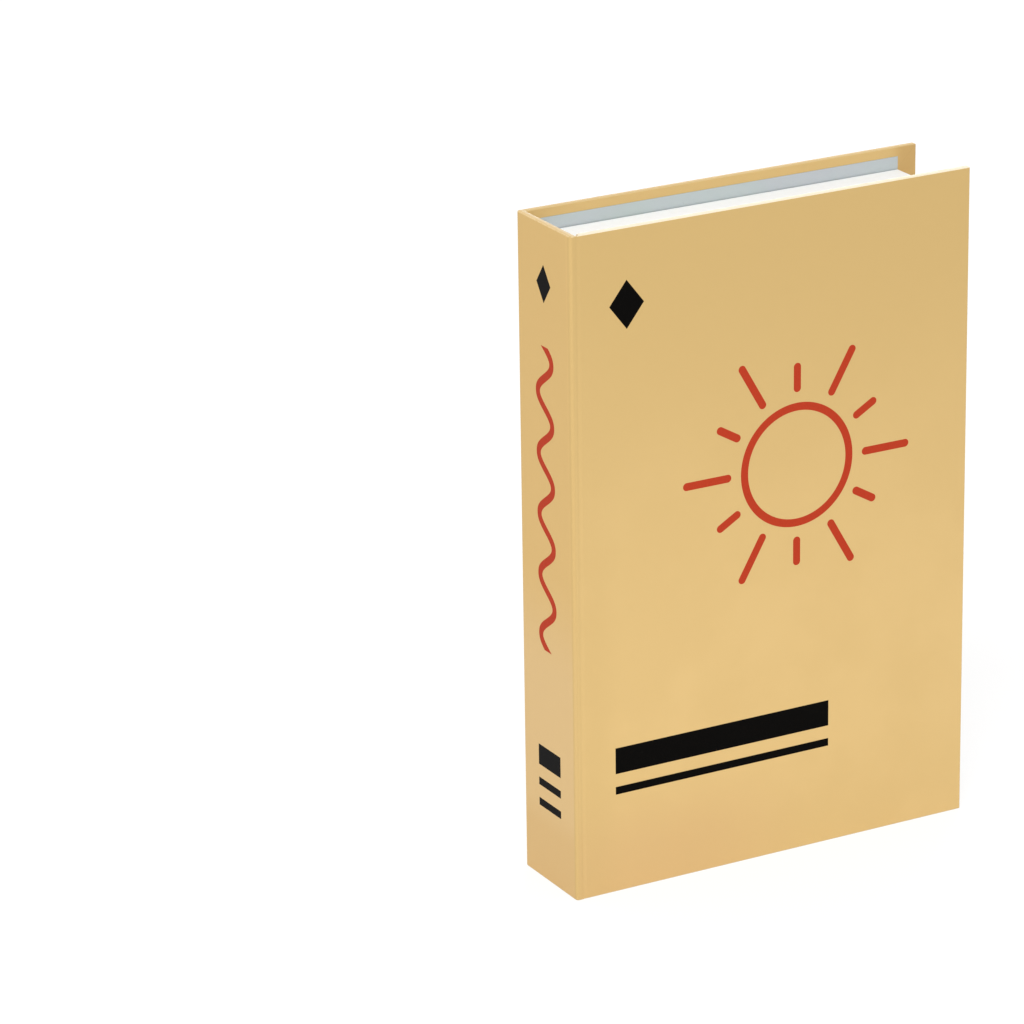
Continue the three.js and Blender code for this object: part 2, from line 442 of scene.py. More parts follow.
def foldedSection(outer, inner, heights, standOff):
    # One loop round a board: up its outer face, over the head, down its inner face and under the tail
    low, high = caseLow.z, caseHigh.z
    reach = math.dist(outer, inner)
    fold = min(casePaper["foldRadius"], reach / 2)
    gap = min(standOff, fold)
    across = ((inner[0] - outer[0]) / reach, (inner[1] - outer[1]) / reach)
    column = [low + fold, *heights, high - fold]
    angles = [math.radians(angle) for angle in span(0.0, 90.0, casePaper["foldSteps"])]
    outside = [(fold - gap * math.cos(a), gap * math.sin(a)) for a in angles]
    inside = [(reach - along, rise) for along, rise in outside]
    loop = [(fold - gap, z) for z in column]
    loop += [(along, high - fold + rise) for along, rise in outside[1:]]
    loop += [(along, high - fold + rise) for along, rise in reversed(inside)]
    loop += [(reach - fold + gap, z) for z in reversed(column[:-1])]
    loop += [(along, low + fold - rise) for along, rise in inside[1:]]
    loop += [(along, low + fold - rise) for along, rise in reversed(outside[1:])]
    return [(outer[0] + across[0] * along, outer[1] + across[1] * along, z) for along, z in loop]


def foldedCase(name, pairs):
    # pairs are plan points (outer face, inner face) from the seam to the start of the fore-edge fold
    radius = casePaper["foldRadius"]
    edge = radius + casePaper["support"]
    turnIn = casePaper["turnIn"]
    low, high = caseLow.z, caseHigh.z
    heights = [low + edge, low + turnIn / 2]
    heights += span(low + turnIn, high - turnIn, casePaper["rows"])
    heights += [high - turnIn / 2, high - edge]
    loops = [foldedSection(outer, inner, heights, radius) for outer, inner in pairs]
    outerEnd, innerEnd = pairs[-1]
    for angle in span(0.0, 90.0, casePaper["foldSteps"])[1:]:
        x = caseHigh.x - radius + radius * math.sin(math.radians(angle))
        standOff = radius * math.cos(math.radians(angle))
        loops.append(foldedSection((x, outerEnd[1]), (x, innerEnd[1]), heights, standOff))
    columnSize = len(heights) + 2
    innerTop = columnSize + 2 * casePaper["foldSteps"]
    size = len(loops[0])
    faces = []
    for index in range(len(loops) - 1):
        besideWindow = index < len(pairs) - 1 and pairs[index + 1][1][0] <= windowEnd + tiny
        for place in range(size):
            onInside = innerTop <= place < innerTop + columnSize - 1
            middle = (loops[index][place][2] + loops[index][(place + 1) % size][2]) / 2
            if besideWindow and onInside and low + turnIn < middle < high - turnIn:
                continue  # the bare board inside the turn-ins
            faces.append(loopFace(index, place, size))
    last = (len(loops) - 1) * size
    for row in range(columnSize - 1):
        innerRow = innerTop + columnSize - 1 - row
        faces.append((last + row, last + row + 1, last + innerRow - 1, last + innerRow))
    piece = makePiece(name, [point for loop in loops for point in loop], faces)
    tidyMesh(piece, (0.0, -1.0, 0.0))
    thicken(piece, casePaper["paper"])
    keepWithin(piece, caseLow, caseHigh)
    smoothFaces(piece)
    rememberRest(piece)
    return piece


frontLow, frontHigh = cadBox("front_board")
caseLow, caseHigh = cadBox("rear_case_wrap")
layer = casePaper["glue"] + casePaper["paper"]
spineInner = cadBox("spine_board")[1].x + layer  # turn-in's face on the spine
hingeInner = frontLow.x - layer  # turn-in's face on the front board's hinge edge
frontInner = frontHigh.y + layer
backInner = cadBox("back_board")[0].y - layer
grooveMiddle = (spineInner + hingeInner) / 2
seamX = grooveMiddle - casePaper["seamBack"]
windowEnd = caseHigh.x - casePaper["turnIn"]
grooveFloor = caseLow.y + casePaper["creaseDepth"] + casePaper["turnInDip"]
seamInnerY = grooveFloor + casePaper["bendRadius"] + casePaper["glue"]


def creaseFace(x):  # steep beside the spine, shallow towards the cover
    away = x - spineInner - casePaper["creasePlace"]
    steep, shallow = casePaper["creaseSides"]
    share = min(abs(away) / (steep if away < 0 else shallow), 1.0)
    return caseLow.y + casePaper["creaseDepth"] * (0.5 + 0.5 * math.cos(math.pi * share))


def coverColumns(start):  # along a cover's flat face, up to the start of the fore-edge fold
    third = casePaper["turnIn"] / 3
    foldStart = caseHigh.x - casePaper["foldRadius"]
    columns = span(start, windowEnd, casePaper["coverColumns"])
    columns += [windowEnd + third, windowEnd + 2 * third]
    return columns + [foldStart - casePaper["support"], foldStart]


def frontCasePairs():
    bend = casePaper["bendRadius"]
    steps = casePaper["cornerSteps"]
    columns = casePaper["grooveColumns"]
    bottom = grooveFloor + bend
    inner = [(spineInner, seamInnerY)]
    inner += arc((spineInner + bend, bottom), bend, 180.0, 270.0, steps)
    inner += arc((hingeInner - bend, bottom), bend, 270.0, 360.0, steps)
    inner += arc((hingeInner + bend, frontInner - bend), bend, 180.0, 90.0, steps)
    inner = spread(inner, columns)
    grooveEnd = hingeInner + casePaper["grooveEnd"]
    outer = [(x, creaseFace(x)) for x in span(seamX, grooveEnd, columns)]
    flat = coverColumns(grooveEnd + casePaper["frontFlat"])
    return list(zip(outer, inner)) + [((x, caseLow.y), (x, frontInner)) for x in flat]


def rearCasePairs():
    radius = casePaper["cornerRadius"]
    bend = casePaper["bendRadius"]
    steps = casePaper["cornerSteps"]
    seamColumns = casePaper["seamColumns"]
    spineColumns = casePaper["spineColumns"]
    nearY = caseLow.y + radius
    farY = caseHigh.y - radius
    cornerX = caseLow.x + radius
    outer = [(x, caseLow.y) for x in span(seamX, cornerX, seamColumns)]
    outer += arc((cornerX, nearY), radius, 270.0, 180.0, steps)[1:]
    outer += [(caseLow.x, y) for y in span(nearY, farY, spineColumns)[1:]]
    outer += arc((cornerX, farY), radius, 180.0, 90.0, steps)[1:]
    inner = [(spineInner, y) for y in span(seamInnerY, seamInnerY + radius, seamColumns + steps)]
    inner += [(spineInner, y) for y in span(seamInnerY + radius, backInner - bend, spineColumns)[1:]]
    inner += arc((spineInner + bend, backInner - bend), bend, 180.0, 90.0, steps)[1:]
    flat = coverColumns(spineInner + casePaper["backFlat"])
    return list(zip(outer, inner)) + [((x, caseHigh.y), (x, backInner)) for x in flat]


frontCase = foldedCase("front_cover_paper", frontCasePairs())
rearCase = foldedCase("spine_and_back_paper", rearCasePairs())
print("case paper folded")


# Linings, which run over the turn-ins and down into the groove

liningSheet = {
    "paper": 0.15,
    "glue": 0.05,
    "grooveBend": 0.2,
    "coverBend": 0.35,
    "innerBend": 0.3,
    "sink": 0.15,
    "sinkWidth": 1.2,
    "seamRise": 0.5,
    "flatGap": 0.5,
    "faceSlack": 0.01,
    "bendSteps": 6,
    "sinkRows": 4,
    "rows": 10,
    "columns": 24,
    "spineColumns": 8,
}


def liningAlong(name, path, heights, sinkOf, outward):
    points = []
    for index, (x, y) in enumerate(path):
        before = path[max(index - 1, 0)]
        after = path[min(index + 1, len(path) - 1)]
        length = math.dist(before, after)
        towardsBoard = ((after[1] - before[1]) / length, (before[0] - after[0]) / length)
        for z in heights:
            depth = sinkOf(x, y, z)
            points.append((x + towardsBoard[0] * depth, y + towardsBoard[1] * depth, z))
    size = len(heights)
    faces = []
    for index in range(len(path) - 1):
        for row in range(size - 1):
            first = index * size + row
            faces.append((first, first + size, first + size + 1, first + 1))
    piece = makePiece(name, points, faces)
    tidyMesh(piece, outward)
    thicken(piece, liningSheet["paper"])
    smoothFaces(piece)
    rememberRest(piece)
    return piece


liningLow, liningHigh = cadBox("rear_lining")
liningStack = liningSheet["glue"] + liningSheet["paper"]
turnInTail = caseLow.z + casePaper["turnIn"]
turnInHead = caseHigh.z - casePaper["turnIn"]
frontFace = frontInner + liningStack
backFace = backInner - liningStack
sinkEdges = span(0.0, liningSheet["sinkWidth"], liningSheet["sinkRows"])


def liningHeights():
    rows = [liningLow.z]
    rows += [turnInTail + edge for edge in sinkEdges]
    rows += span(turnInTail, turnInHead, liningSheet["rows"])[1:-1]
    rows += [turnInHead - edge for edge in reversed(sinkEdges)]
    return rows + [liningHigh.z]


def liningColumns(start):
    columns = span(start, windowEnd - liningSheet["sinkWidth"], liningSheet["columns"])
    columns += [windowEnd - edge for edge in reversed(sinkEdges)][1:]
    return columns + [(windowEnd + liningHigh.x) / 2, liningHigh.x]


def sunkOverBoard(x, z, hingeSide):  # inside the frame of turn-ins the lining lies on the bare board
    margins = (x - hingeSide, windowEnd - x, z - turnInTail, turnInHead - z)
    shares = [ease(margin / liningSheet["sinkWidth"]) for margin in margins]
    return liningSheet["sink"] * math.prod(shares)


def frontLiningPath():
    bend = liningSheet["grooveBend"]
    coverBend = liningSheet["coverBend"]
    steps = liningSheet["bendSteps"]
    left = spineInner + liningStack
    right = hingeInner - liningStack
    bottom = grooveFloor + liningSheet["paper"]
    path = [(left, bottom + bend + liningSheet["seamRise"])]
    path += arc((left + bend, bottom + bend), bend, 180.0, 270.0, steps)
    path += [(x, bottom) for x in span(left + bend, right - bend, 2 * steps)[1:-1]]
    path += arc((right - bend, bottom + bend), bend, 270.0, 360.0, steps)
    path += arc((right + coverBend, frontFace - coverBend), coverBend, 180.0, 90.0, steps)
    return path + [(x, frontFace) for x in liningColumns(right + coverBend + liningSheet["flatGap"])]


def rearLiningPath():
    bend = liningSheet["innerBend"]
    steps = liningSheet["bendSteps"]
    left = spineInner + liningStack
    bottom = grooveFloor + liningSheet["paper"] + liningSheet["grooveBend"] + liningSheet["seamRise"]
    path = [(x, backFace) for x in reversed(liningColumns(left + bend + liningSheet["flatGap"]))]
    path += arc((left + bend, backFace - bend), bend, 90.0, 180.0, steps)
    return path + [(left, y) for y in span(backFace - bend, bottom, liningSheet["spineColumns"])[1:]]


frontLining = liningAlong(
    "front_cover_lining",
    frontLiningPath(),
    liningHeights(),
    lambda x, y, z: sunkOverBoard(x, z, hingeInner) if y > frontFace - liningSheet["faceSlack"] else 0.0,
    (1.0, 0.0, 0.0),
)
rearLining = liningAlong(
    "spine_and_back_lining",
    rearLiningPath(),
    liningHeights(),
    lambda x, y, z: sunkOverBoard(x, z, spineInner) if y > backFace - liningSheet["faceSlack"] else 0.0,
    (0.0, -1.0, 0.0),
)
print("linings laid")


# Page skin: the section of a tray wall, swept round the block by Geometry Nodes

pageSkin = {
    "paper": 0.2,
    "glue": 0.05,
    "wall": 2.67,
    "turnUnder": 12.0,
    "underFold": 1.5,
    "foldRoom": 1.0,
    "foldRadius": 0.37,
    "foldSteps": 4,
    "cornerRadius": 0.37,
    "cornerSteps": 4,
    "outsideRows": 8,
    "insideRows": 6,
}


def wallSection(skin, rimY, floorY, footY):
    # Points (depth from the outside, y): the edge under the floor, up the outside, down the inside
    radius = skin["foldRadius"]
    steps = skin["foldSteps"]
    wall = skin["wall"]
    room = skin["foldRoom"]
    section = [(skin["turnUnder"], floorY), (skin["underFold"], floorY)]
    section += arc((radius, floorY - radius), radius, 90.0, 180.0, steps)
    section += [(0.0, y) for y in span(floorY - room, rimY + room, skin["outsideRows"])]
    section += arc((radius, rimY + radius), radius, 180.0, 270.0, steps)
    section += arc((wall - radius, rimY + radius), radius, 270.0, 360.0, steps)
    return section + [(wall, y) for y in span(rimY + room, footY, skin["insideRows"])]


def sweepTree():
    tree = bpy.data.node_groups.new("wall_round_block", "GeometryNodeTree")
    sockets = {
        "Section": "NodeSocketGeometry",
        "Block Width": "NodeSocketFloat",
        "Block Height": "NodeSocketFloat",
        "Corner Radius": "NodeSocketFloat",
        "Corner Steps": "NodeSocketInt",
        "Middle": "NodeSocketVector",
        "Paper": "NodeSocketMaterial",
    }
    for name, kind in sockets.items():
        tree.interface.new_socket(name, in_out="INPUT", socket_type=kind)
    tree.interface.new_socket("Skin", in_out="OUTPUT", socket_type="NodeSocketGeometry")
    nodes = Nodes(tree)
    given = nodes.add("NodeGroupInput", {}, {}).socket.node.outputs
    wires = [Wire(nodes, given[name]) for name in sockets]
    section, width, height, radius, steps, middle, paper = wires
    sizes = {"component": "MESH"}
    counted = nodes.add("GeometryNodeAttributeDomainSize", sizes, {0: section}, "Point Count")
    perCorner = steps + 1.0
    around = perCorner * 4.0
    rings = {"Vertices": around, "Side Segments": counted - 1.0}
    tube = nodes.add("GeometryNodeMeshCylinder", {"fill_type": "NONE"}, rings)
    index = nodes.add("GeometryNodeInputIndex", {}, {})
    level = ((index + 0.5) / around).math("FLOOR")
    place = index - level * around
    corner = ((place + 0.5) / perCorner).math("FLOOR")
    turn = (corner + (place - corner * perCorner) / steps) * (math.pi / 2)
    diagonal = (corner + 0.5) * (math.pi / 2)
    sampled = nodes.add(
        "GeometryNodeSampleIndex",
        {"data_type": "FLOAT_VECTOR"},
        {"Geometry": section, "Value": nodes.add("GeometryNodeInputPosition", {}, {}), "Index": level},
    )
    inset, depth = nodes.split(sampled)[:2]
    across = (width * 0.5 - inset - radius) * diagonal.math("COSINE").math("SIGN")
    along = (height * 0.5 - inset - radius) * diagonal.math("SINE").math("SIGN")
    parts = {
        "X": across + radius * turn.math("COSINE"),
        "Y": depth,
        "Z": along + radius * turn.math("SINE"),
    }
    flat = nodes.add("ShaderNodeCombineXYZ", {}, parts)
    moved = nodes.add("ShaderNodeVectorMath", {"operation": "ADD"}, {0: flat, 1: middle})
    swept = nodes.add("GeometryNodeSetPosition", {}, {"Geometry": tube, "Position": moved})
    plain = nodes.add("GeometryNodeRealizeInstances", {}, {0: swept})
    painted = nodes.add("GeometryNodeSetMaterial", {}, {"Geometry": plain, "Material": paper})
    nodes.plug(tree.nodes.new("NodeGroupOutput").inputs[0], painted)
    return tree


def makePageSkin(skin, material):
    low, high = cadBox("tray_page_wrap")
    footY = cadBox("tray_floor_board")[0].y - skin["glue"]
    section = wallSection(skin, low.y, high.y, footY)
    piece = makePiece("page_skin", [(depth, y, 0.0) for depth, y in section], [])
    sweep = piece.modifiers.new("wall round block", "NODES")
    sweep.node_group = sweepTree()
    middle = (low + high) / 2 / metre
    inputs = {
        "Block Width": (high.x - low.x) / metre,
        "Block Height": (high.z - low.z) / metre,
        "Corner Radius": skin["cornerRadius"] / metre,
        "Corner Steps": skin["cornerSteps"],
        "Middle": (middle.x, 0.0, middle.z),
        "Paper": material,
    }
    identifiers = {item.name: item.identifier for item in sweep.node_group.interface.items_tree}
    for name, value in inputs.items():
        sweep[identifiers[name]] = value
    settle(piece)
    tidyMesh(piece, (0.0, 1.0, 0.0))
    thicken(piece, skin["paper"])
    smoothFaces(piece)
    return piece


# Floor sheet of the tray and the sticker on the back: flat sheets with a soft edge

floorSheet = {
    "corner": 0.6,
    "leastCorner": 0.2,
    "bevel": 0.05,
    "ring": 1.5,  # faces inside the edge, which keep the middle flat
    "steps": 4,
}
stickerSheet = {
    "corner": 0.9,
    "leastCorner": 0.2,
    "bevel": 0.04,
    "ring": 1.5,
    "steps": 6,
}


def roundedLoop(low, high, inset, radius, steps):
    left, right = low.x + inset + radius, high.x - inset - radius
    bottom, top = low.z + inset + radius, high.z - inset - radius
    corners = [(right, bottom, -90.0), (right, top, 0.0), (left, top, 90.0), (left, bottom, 180.0)]
    loop = []
    for x, z, angle in corners:
        loop += arc((x, z), radius, angle, angle + 90.0, steps)
    return loop


def flatSheet(name, node, sheet, towards):
    # towards is the side that shows: -1 looks along -y, 1 along +y
    low, high = cadBox(node)
    near, far = (high.y, low.y) if towards > 0 else (low.y, high.y)
    bevel = sheet["bevel"]
    levels = [(bevel, far), (0.0, far), (0.0, near - towards * bevel)]
    levels += [(bevel, near), (sheet["ring"], near)]
    loops = []
    for inset, y in levels:
        radius = max(sheet["corner"] - inset, sheet["leastCorner"])
        loops.append([(x, y, z) for x, z in roundedLoop(low, high, inset, radius, sheet["steps"])])
    size = len(loops[0])
    faces = []
    for level in range(len(loops) - 1):
        faces += [loopFace(level, place, size) for place in range(size)]
    faces.append(tuple(range(size - 1, -1, -1)))
    faces.append(tuple(range((len(loops) - 1) * size, len(loops) * size)))
    piece = makePiece(name, [point for loop in loops for point in loop], faces)
    work = bmesh.new()
    work.from_mesh(piece.data)
    bmesh.ops.recalc_face_normals(work, faces=work.faces)
    work.to_mesh(piece.data)
    work.free()
    smoothFaces(piece)
    return piece


# Case paper: tan print on laminated paper, with a line sun, bars, lozenges and a wave

printLayout = {
    "sunPlace": (10.0, 150.0),
    "ring": 22.0,
    "line": 3.0,
    "rays": 12,
    "rayStart": 29.0,
    "rayShort": 37.0,
    "rayLong": 46.0,
    "frontLozenge": (-60.0, 222.0, 7.0, 9.0),
    "frontBars": ((-66.0, 24.0, 46.0, 56.0), (-66.0, 24.0, 38.0, 41.0)),
    "spineLozenge": (0.0, 228.0, 5.0, 7.0),
    "spineBars": ((-8.0, 8.0, 44.0, 52.0), (-8.0, 8.0, 36.0, 39.0), (-8.0, 8.0, 28.0, 31.0)),
    "waveEnds": (90.0, 205.0),
    "waveHeight": 5.0,
    "waveLength": 23.0,
    "inkEdge": 0.06,
    "lozengeEdge": 0.01,
}
caseFinish = {
    "tan": tint(230, 196, 134),
    "tanDeep": tint(227, 193, 131),
    # painted shade: the tan deepened towards the head, beside the groove and on the spine's front corner
    "shadeTone": tint(215, 182, 121),
    # painted shade at the foot of the front and of the spine
    "footShade": tint(224, 187, 129),
    "spineLow": tint(230, 196, 143),
    "spineHigh": tint(228, 190, 126),
    # painted shade on the fore-edge strips inside the covers, deeper inside the front cover
    "backRecessShade": tint(212, 176, 116),
    "frontRecessShade": tint(196, 158, 95),
    # wear and painted highlight: folded edges rubbed lighter, and the light band they catch
    "wornAndHighlit": tint(243, 220, 172),
    # painted highlight on the head edges of the boards and the spine
    "headEdgeHighlight": tint(252, 243, 219),
    "seam": tint(150, 116, 66),
    "red": tint(196, 68, 42),
    "redDeep": tint(182, 58, 36),
    "black": tint(6, 5, 4),
    "blackDull": tint(14, 12, 10),
    "roughness": 0.45,
    "specular": 0.03,
    "grainDepth": 0.02,
    "cloudNoise": (0.03, 3.0),
    "fibreStretch": (1.0, 1.0, 3.0),
    "fibreNoise": (2.2, 4.0, 0.6),
    "peelNoise": (1.1, 2.0),
}
caseShading = {  # millimetres between which a tone comes in, and the shares in which it does
    "spineDepth": 1.0,
    "coverFrom": 3.0,
    "coverSlack": 0.1,
    # painted shade towards the head, less of it on the spine and the turn-ins
    "headShadeRise": 60.0,
    "lessOnSpine": 0.7,
    "lessOnTurnIn": 0.5,
    "spineChange": (80.0, 125.0),
    "spineShare": 0.8,
    # painted shade at the foot
    "footRise": (45.0, 12.0),
    "footReach": (110.0, 45.0),
    "spineFootRise": (32.0, 18.0),
    "spineFootShare": 0.7,
    # painted shade beside the groove on the lower front, and on the spine's front corner against its
    # highlight
    "grooveReach": (22.0, 6.0),
    "grooveRise": (190.0, 130.0),
    "grooveShare": 0.33,
    "cornerReach": (1.9, 0.8),
    "cornerShare": 0.85,
    "insideDepth": (2.3, 2.7),
    # painted shade on the fore-edge strips inside the covers
    "foreStrip": (3.2, -2.8),
    # lighter folds: partly wear, partly painted highlight
    "wearAndHighlightReach": (0.5, 0.2),
    "wearAndHighlightShare": 0.55,
    # painted highlight along the head edges, most on the front cover
    "headEdgeHighlight": (0.35, 0.2),
    "headEdgeShares": (0.77, 0.17, 0.08),
    "spineStrip": (0.6, 1.4),
    "stripEnd": 2.6,
    "mitre": (0.22, 0.08),
    "mitreShare": 0.07,
}


def inked(paint, distance, half):
    soft = printLayout["inkEdge"]
    return paint.ramp(distance, half + soft, half - soft)


def bars(places, x, z):
    return sum(between(x, left, right) * between(z, low, high) for left, right, low, high in places)


def lozenge(paint, x, z, place):
    middleX, middleZ, halfWidth, halfHeight = place
    reach = abs(x - middleX) / halfWidth + abs(z - middleZ) / halfHeight
    soft = printLayout["lozengeEdge"]
    return paint.ramp(reach, 1.0 + soft, 1.0 - soft)


def sunLines(paint, x, z, layout):
    across = x - layout["sunPlace"][0]
    up = z - layout["sunPlace"][1]
    radius = (across * across + up * up).math("SQRT")
    ring = inked(paint, abs(radius - layout["ring"]), layout["line"] / 2)
    sector = 2 * math.pi / layout["rays"]
    turn = up.math("ARCTAN2", across) + sector / 2
    local = turn % sector - sector / 2
    odd = (turn / sector).math("FLOOR") % 2.0
    end = odd * (layout["rayShort"] - layout["rayLong"]) + layout["rayLong"]
    along = radius * local.math("COSINE")
    aside = radius * local.math("SINE")
    past = along - along.math("MAXIMUM", layout["rayStart"]).math("MINIMUM", end)
    rays = inked(paint, (past * past + aside * aside).math("SQRT"), layout["line"] / 2)
    return ring.math("MAXIMUM", rays)


def waveLine(paint, y, z, layout):
    low, high = layout["waveEnds"]
    rate = 2 * math.pi / layout["waveLength"]
    phase = (z - low) * rate
    slope = phase.math("COSINE") * (layout["waveHeight"] * rate)
    away = abs(y - phase.math("SINE") * layout["waveHeight"])
    distance = away / (slope * slope + 1.0).math("SQRT")
    return inked(paint, distance, layout["line"] / 2) * between(z, low, high)


def caseParts(paint, x, y, z, shading):
    # The share of each part of the sheet, by distances from the faces of the closed box
    middleHeight = (caseLow.z + caseHigh.z) / 2
    fromHead = middleHeight - abs(z - middleHeight)
    fromCover = caseHigh.y - abs(y)
    fromSpine = x - caseLow.x
    fromFore = caseHigh.x - x
    headFold = fromHead + fromCover.math("MINIMUM", fromSpine)
    insideFrom, turnInEnd = shading["insideDepth"]
    onInside = fromCover > insideFrom
    foreFrom, foreTo = [caseHigh.x - liningHigh.x + reach for reach in shading["foreStrip"]]
    cornerFrom, cornerTo = [caseLow.y + reach for reach in shading["cornerReach"]]
    mitre = paint.ramp(abs(fromFore - fromHead), *shading["mitre"]) * onInside
    return {
        "front": y < caseLow.y + casePaper["cornerRadius"],
        "spine": fromSpine < shading["spineDepth"],
        "cover": (y < frontInner + shading["coverSlack"]) * (fromSpine > shading["coverFrom"]),
        "turnIn": between(fromCover, insideFrom, turnInEnd),
        "foreStrip": onInside * paint.ramp(fromFore, foreFrom, foreTo),
        "mitre": mitre * (fromFore < casePaper["turnIn"]),
        "fold": paint.ramp(headFold.math("MINIMUM", fromFore + fromCover), *shading["wearAndHighlightReach"]),
        "headEdgeHighlight": paint.ramp(fromHead, *shading["headEdgeHighlight"]),
        "spineStrip": paint.ramp(fromSpine, *shading["spineStrip"]) * (fromSpine < shading["stripEnd"]),
        # painted shade on the spine's front corner, and beside the groove
        "corner": paint.ramp(fromSpine + y, cornerFrom, cornerTo),
        "groove": paint.ramp(fromSpine, *shading["grooveReach"]) * paint.ramp(z, *shading["grooveRise"]),
        "foot": paint.ramp(fromSpine, *shading["footReach"]) * paint.ramp(z, *shading["footRise"]),
        "spineFoot": paint.ramp(z, *shading["spineFootRise"]),
        "spineRise": paint.ramp(z, *shading["spineChange"]),
        "headShadeRise": paint.ramp(z, shading["headShadeRise"], caseHigh.z),
        "back": y > 0.0,
    }


# the tan of the sheet, with painted shade towards the head and foot, beside the groove, on the spine's
# front corner and on the fore-edge strips inside, and painted highlight on folds and head edges
def caseTone(paint, cloudy, fibre, parts, finish, shading):
    front, spine = parts["front"], parts["spine"]
    # painted shade at the foot of the front and of the spine
    foot = (parts["foot"] * front).math("MAXIMUM", parts["spineFoot"] * spine * shading["spineFootShare"])
    headShare = 1.0 - spine * shading["lessOnSpine"] - parts["turnIn"] * shading["lessOnTurnIn"]
    groove = parts["groove"] * front * shading["grooveShare"]
    # painted highlight along the head edges, varied by the fibre
    coverShare, stripShare, edgeShare = shading["headEdgeShares"]
    edge = parts["headEdgeHighlight"] * (fibre * 0.3 + 0.85)
    edge = edge * (parts["cover"] * coverShare + parts["spineStrip"] * stripShare + edgeShare)
    spineTan = paint.blend(parts["spineRise"], finish["spineLow"], finish["spineHigh"])
    # painted shade for the fore-edge strips inside, deeper inside the front cover
    recessShade = paint.blend(parts["back"], finish["frontRecessShade"], finish["backRecessShade"])
    return paint.layered(
        finish["tan"],
        (paint.ramp(cloudy, 0.35, 0.65), finish["tanDeep"]),
        (spine * shading["spineShare"], spineTan),
        (foot, finish["footShade"]),
        # painted shade towards the head
        (parts["headShadeRise"] * headShare, finish["shadeTone"]),
        # painted shade beside the groove and on the spine's front corner
        (groove.math("MAXIMUM", parts["corner"] * shading["cornerShare"]), finish["shadeTone"]),
        (parts["foreStrip"], recessShade),
        (parts["rubbed"], finish["wornAndHighlit"]),
        (edge, finish["headEdgeHighlight"]),
        (parts["mitre"] * shading["mitreShare"], finish["seam"]),
    )


def casePaperPaint(finish, shading, layout):
    paint = Paint("printed_case_paper", {"Specular IOR Level": finish["specular"]})
    place = paint.place("restPlace")
    x, y, z = paint.split(place)
    cloudy = paint.noise(place, *finish["cloudNoise"])
    fibre = paint.noise(paint.stretched(place, finish["fibreStretch"]), *finish["fibreNoise"])
    peel = paint.noise(place, *finish["peelNoise"])
    parts = caseParts(paint, x, y, z, shading)
    # folds made lighter, partly wear and partly painted highlight; the same mask roughens them
    parts["rubbed"] = parts["fold"] * paint.ramp(fibre, 0.3, 0.6) * shading["wearAndHighlightShare"]
    front, spine = parts["front"], parts["spine"]
    wave = waveLine(paint, y, z, layout) * spine
    redInk = (sunLines(paint, x, z, layout) * front).math("MAXIMUM", wave)
    frontBlack = bars(layout["frontBars"], x, z) + lozenge(paint, x, z, layout["frontLozenge"])
    spineBlack = bars(layout["spineBars"], y, z) + lozenge(paint, y, z, layout["spineLozenge"])
    blackInk = frontBlack * front + spineBlack * spine
    ink = redInk.math("MAXIMUM", blackInk)
    colour = paint.layered(
        caseTone(paint, cloudy, fibre, parts, finish, shading),
        (redInk, paint.blend(fibre, finish["redDeep"], finish["red"])),
        (blackInk, paint.blend(paint.ramp(fibre, 0.5, 0.8), finish["black"], finish["blackDull"])),
    )
    roughness = fibre * 0.1 + finish["roughness"] - ink * 0.06 + parts["rubbed"] * 0.1
    height = peel * 0.5 + fibre * 0.35 + ink * 0.15 - parts["mitre"] * 0.5
    return paint.finish(colour, roughness, height, finish["grainDepth"])


# Lining paper, page paper and sticker paper

liningFinish = {
    "blueGrey": tint(191, 201, 203),
    "lavender": tint(192, 198, 204),
    "seaGreen": tint(188, 201, 199),
    "fleck": tint(172, 181, 185),
    "fleckShare": 0.25,
    "roughness": 0.68,
    "grainDepth": 0.03,
    "patchNoise": (0.03, 1.0),
    "otherPatchNoise": (0.021, 1.0),
    "fibreNoise": (1.8, 4.0, 0.65),
    "fleckNoise": (0.9, 3.0, 0.7),
}


def liningPaint(name, finish, attribute=None):
    paint = Paint(name, {"IOR": 1.45})
    place = paint.place(attribute)
    patches = paint.noise(paint.stretched(place, (1.0, 1.0, 0.5)), *finish["patchNoise"])
    otherPatches = paint.noise(place, *finish["otherPatchNoise"])
    fibre = paint.noise(paint.stretched(place, (1.0, 1.0, 4.0)), *finish["fibreNoise"])
    flecks = paint.ramp(paint.noise(place, *finish["fleckNoise"]), 0.62, 0.72)
    colour = paint.layered(
        finish["blueGrey"],
        (paint.ramp(patches, 0.42, 0.66), finish["lavender"]),
        (paint.ramp(otherPatches, 0.5, 0.72), finish["seaGreen"]),
        (flecks * finish["fleckShare"], finish["fleck"]),
    )
    roughness = fibre * 0.12 + finish["roughness"]
    return paint.finish(colour, roughness, fibre, finish["grainDepth"])


pageFinish = {
    "white": tint(254, 255, 254),
    "inner": tint(241, 242, 239),
    "cream": tint(248, 247, 242),
    "shade": tint(235, 232, 226),
    # painted shade: a brownish line along the block's edges
    "edgeShade": tint(164, 140, 122),
    # painted shadow where the block meets the lining
    "contactShade": tint(132, 136, 136),
    "roughness": 0.6,
    "grainDepth": 0.03,
    "leafShare": 0.004,  # how far a printed leaf changes along the block
    "bandNoise": (0.42, 2.0, 0.6),
    "leafNoise": (4.5, 2.0, 0.7),
    "mottleNoise": (0.06, 2.0),
    "fibreNoise": (2.0, 4.0, 0.6),
    "outsideReach": (0.6, 0.3),
    "cornerReach": (0.5, 0.25),
    "glueLine": (0.55, 0.3),
    "mottleShare": 0.06,
    "bandShares": (0.85, 0.05),  # more on the fore edge, and everywhere
    "leafStrength": 0.45,
    "cornerShare": 0.5,
    "backEdgeShadowShare": 0.85,
}


